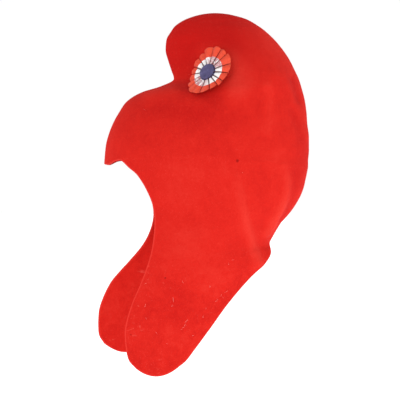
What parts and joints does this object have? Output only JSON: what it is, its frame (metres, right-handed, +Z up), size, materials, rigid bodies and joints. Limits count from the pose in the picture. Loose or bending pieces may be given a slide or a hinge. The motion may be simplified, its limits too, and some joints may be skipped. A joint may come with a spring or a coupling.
{
  "type": "phrygian cap",
  "caption": "Red felt Phrygian cap: forward-curling crown, crest seam, brow hem, nape and long cheek flaps, with a pleated tricolour cockade on the wearer's left.",
  "frame": {"origin": "where the top of the wearer's head bears on the inside of the crown, in the plane of the crest seam", "axes": "+Z up, -Y the way the wearer faces, +X the wearer's left, the side with the cockade"},
  "size_m": [0.1602, 0.2563, 0.4225],
  "materials": {
    "red_felt": "matt wool felt with a fine short nap",
    "tricolour_ribbon": "pleated ribbon, white inside and red outside, with a slight sheen",
    "blue_cloth": "matt blue cloth over a domed disc"
  },
  "bodies": {
    "root": {"left_half": "red_felt", "right_half": "red_felt", "cockade_ribbon": "tricolour_ribbon", "cockade_button": "blue_cloth", "cockade_post": "red_felt"}
  },
  "joints": []
}
